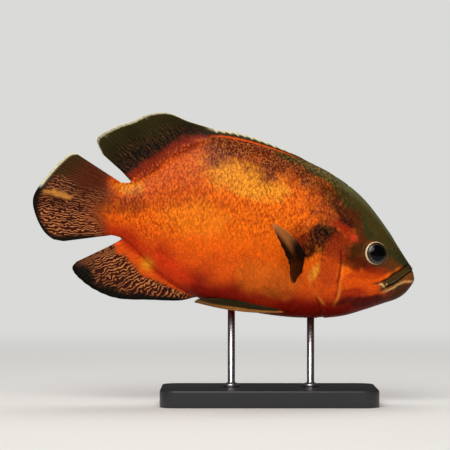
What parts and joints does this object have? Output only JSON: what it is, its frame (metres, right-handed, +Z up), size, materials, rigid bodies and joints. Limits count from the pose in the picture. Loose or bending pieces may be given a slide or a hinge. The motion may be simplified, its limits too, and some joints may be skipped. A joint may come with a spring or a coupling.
{
  "type": "oscar fish",
  "caption": "Life-size red oscar fish, a deep-bodied cichlid with fleshy lips and broad rear fins, swimming nose down on a flat stand with rods.",
  "frame": {"origin": "centre of the stand base's underside", "axes": "+X towards the fish's head, along its length; +Y to the fish's left; +Z up"},
  "size_m": [0.2653, 0.1438, 0.2025],
  "materials": {
    "orange_skin": "wet orange scales over olive and maroon skin",
    "jaw_skin": "smooth wet dark red skin",
    "dark_fin": "olive-black fin with pale margin",
    "patterned_fin": "dark fin with tan maze marks",
    "eye_black": "wet black eye with a pale rim",
    "base_black": "satin black paint",
    "rod_steel": "brushed"
  },
  "bodies": {
    "root": {"head": "orange_skin", "lower_jaw": "jaw_skin", "gill_cover_right": "orange_skin", "gill_cover_left": "orange_skin", "trunk": "orange_skin", "tail_stalk": "orange_skin", "dorsal_fin_spiny": "dark_fin", "dorsal_fin_soft": "dark_fin", "anal_fin": "patterned_fin", "caudal_fin": "patterned_fin", "pectoral_fin_right": "dark_fin", "pectoral_fin_left": "dark_fin", "pelvic_fin_right": "dark_fin", "pelvic_fin_left": "dark_fin", "eye_right": "eye_black", "eye_left": "eye_black", "stand_base": "base_black", "stand_rod_front": "rod_steel", "stand_rod_rear": "rod_steel"}
  },
  "joints": []
}
